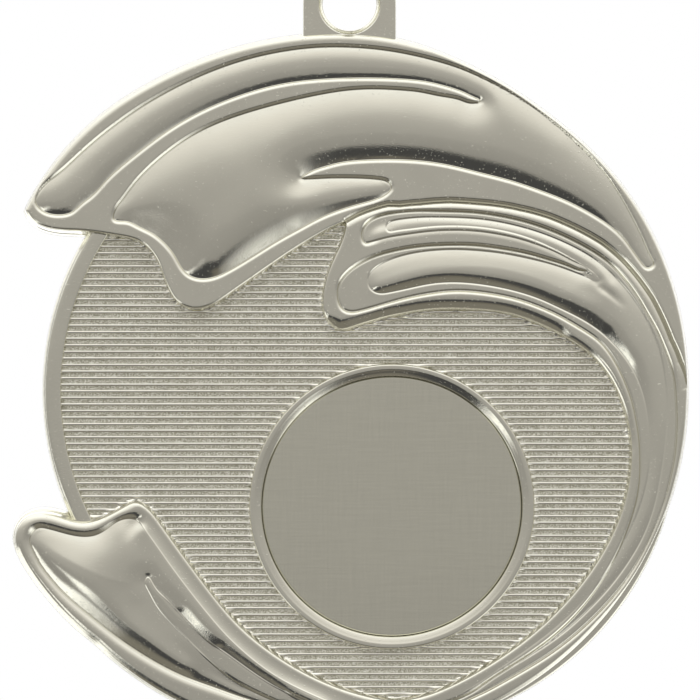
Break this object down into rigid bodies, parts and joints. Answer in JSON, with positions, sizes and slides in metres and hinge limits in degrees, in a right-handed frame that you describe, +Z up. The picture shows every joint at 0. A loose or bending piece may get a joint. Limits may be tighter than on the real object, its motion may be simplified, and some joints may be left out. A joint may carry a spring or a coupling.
{
  "type": "medal",
  "caption": "Round cast medal with a raised wave relief, a ribbed field, a blank centre disc in an off-centre recess, and a jump ring in its eyelet.",
  "frame": {"origin": "on the flat back face, at the centre of the circle that the right side and the bottom edge follow", "axes": "the medal hangs upright: +Z up, the front faces -Y, +Y out of the back, +X to the right of someone facing the front"},
  "size_m": [0.0673, 0.0132, 0.0883],
  "materials": {
    "plated_metal": "polished nickel plate on cast zinc",
    "ribbed_metal": "nickel plate over polished ribs with grained valleys",
    "brushed_disc": "fine brushed, nickel plated",
    "adhesive": "thin double-sided foam",
    "ring_wire": "nickel plated steel wire"
  },
  "bodies": {
    "ring": {"jump_ring": "ring_wire"},
    "medal": {"back_plate": "plated_metal", "upper_wave": "plated_metal", "crest_wave": "plated_metal", "lower_wave": "plated_metal", "outer_swell": "plated_metal", "inner_swell": "plated_metal", "upper_strand": "plated_metal", "lower_strand": "plated_metal", "left_swell": "plated_metal", "inner_ridge": "plated_metal", "flat_rim": "plated_metal", "ribbed_field": "ribbed_metal", "bezel_ring": "plated_metal", "adhesive_pad": "adhesive", "centre_disc": "brushed_disc", "eyelet": "plated_metal"}
  },
  "joints": [
    {"name": "medal_swing", "type": "hinge", "parent": "ring", "child": "medal", "pos_m": [0.00115, -0.0016, 0.0466], "axis": [1, 0, 0], "range_deg": [-90, 90]}
  ]
}
